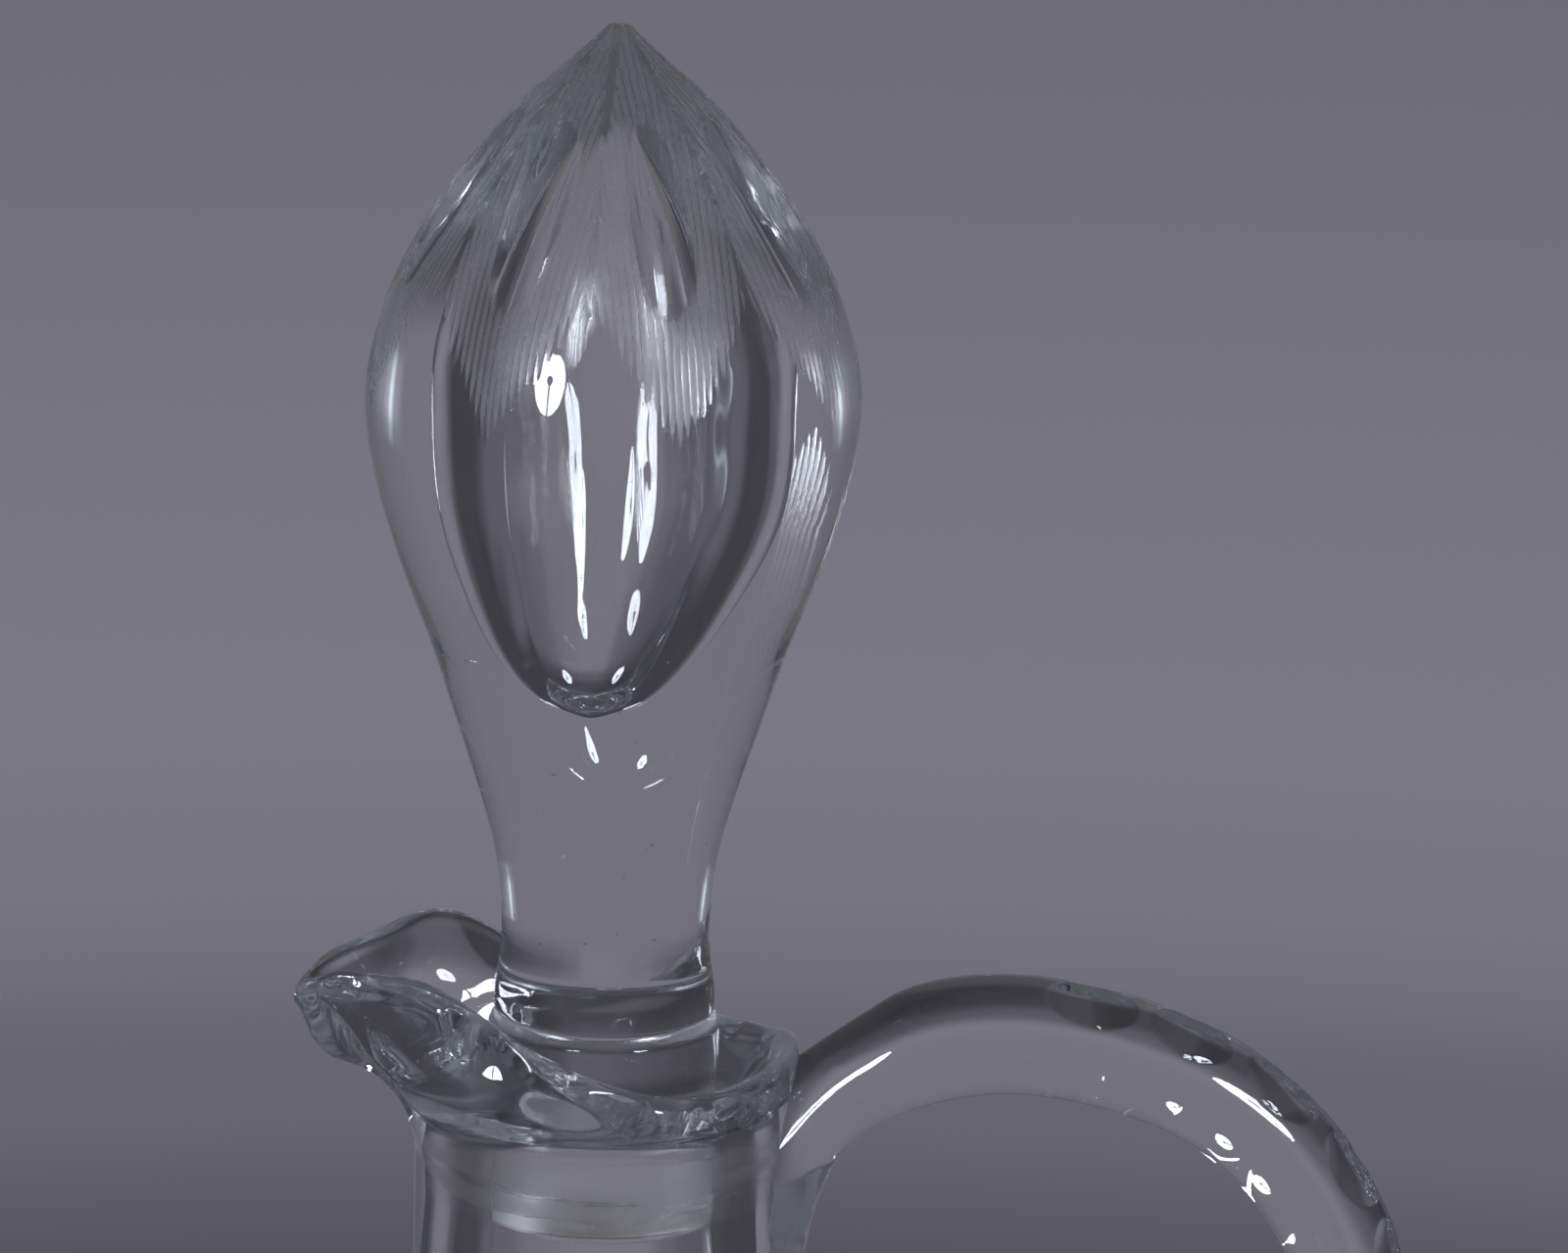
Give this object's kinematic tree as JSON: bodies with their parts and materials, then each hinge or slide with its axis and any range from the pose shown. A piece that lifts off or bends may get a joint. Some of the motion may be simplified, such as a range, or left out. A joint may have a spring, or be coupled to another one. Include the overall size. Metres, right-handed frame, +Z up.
{
  "type": "claret jug",
  "caption": "Footed clear cut crystal claret jug with a pinched pouring lip, an applied arched handle and a tall pointed lift-out stopper.",
  "frame": {"origin": "on the jug's axis, at the middle of the foot's flat underside", "axes": "+Z up along the jug's axis, -X towards the pouring lip, +X towards the handle"},
  "size_m": [0.1526, 0.116, 0.3782],
  "materials": {
    "body_crystal": "polished lead crystal with cut flutes and scallops",
    "handle_crystal": "polished lead crystal with thumb cuts",
    "stem_crystal": "polished lead crystal",
    "foot_crystal": "polished lead crystal",
    "finial_crystal": "polished lead crystal with a cut cap",
    "plug_crystal": "finely ground lead crystal"
  },
  "bodies": {
    "jug": {"jug_body": "body_crystal", "handle": "handle_crystal", "stem": "stem_crystal", "foot": "foot_crystal"},
    "stopper": {"stopper_finial": "finial_crystal", "stopper_plug": "plug_crystal"}
  },
  "joints": [
    {"name": "stopper_lift", "type": "slide", "parent": "jug", "child": "stopper", "axis": [0, 0, 1], "range_m": [0, 0.06]}
  ]
}
